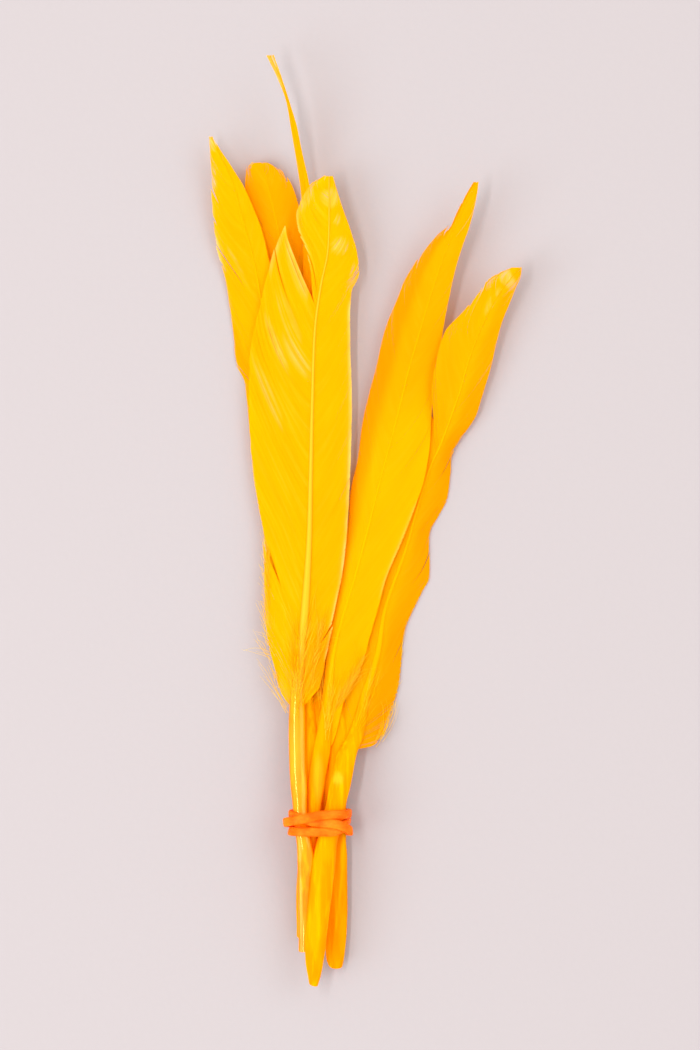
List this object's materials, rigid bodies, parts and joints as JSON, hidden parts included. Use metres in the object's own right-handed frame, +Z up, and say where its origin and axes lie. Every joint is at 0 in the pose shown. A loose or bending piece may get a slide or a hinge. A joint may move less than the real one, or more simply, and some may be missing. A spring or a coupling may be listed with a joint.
{
  "type": "tied bunch of dyed goose quill feathers",
  "caption": "Bunch of bright yellow dyed goose quill feathers, tied round the quills with an orange rubber band and lying down.",
  "frame": {"origin": "on the surface the bunch lies on, under the middle of its outline", "axes": "+Y from the cut quill ends towards the feather tips, +Z up from the surface, +X to the right seen from above with the tips away"},
  "size_m": [0.0593, 0.176, 0.0112],
  "materials": {
    "feather_bright": "satin",
    "feather_deep": "satin",
    "band": "satin"
  },
  "bodies": {
    "root": {"feather_front_left": "feather_bright", "feather_far_left": "feather_bright", "feather_back_blunt": "feather_deep", "feather_back_curled": "feather_deep", "feather_front_right": "feather_bright", "feather_far_right": "feather_deep", "rubber_band": "band"}
  },
  "joints": []
}
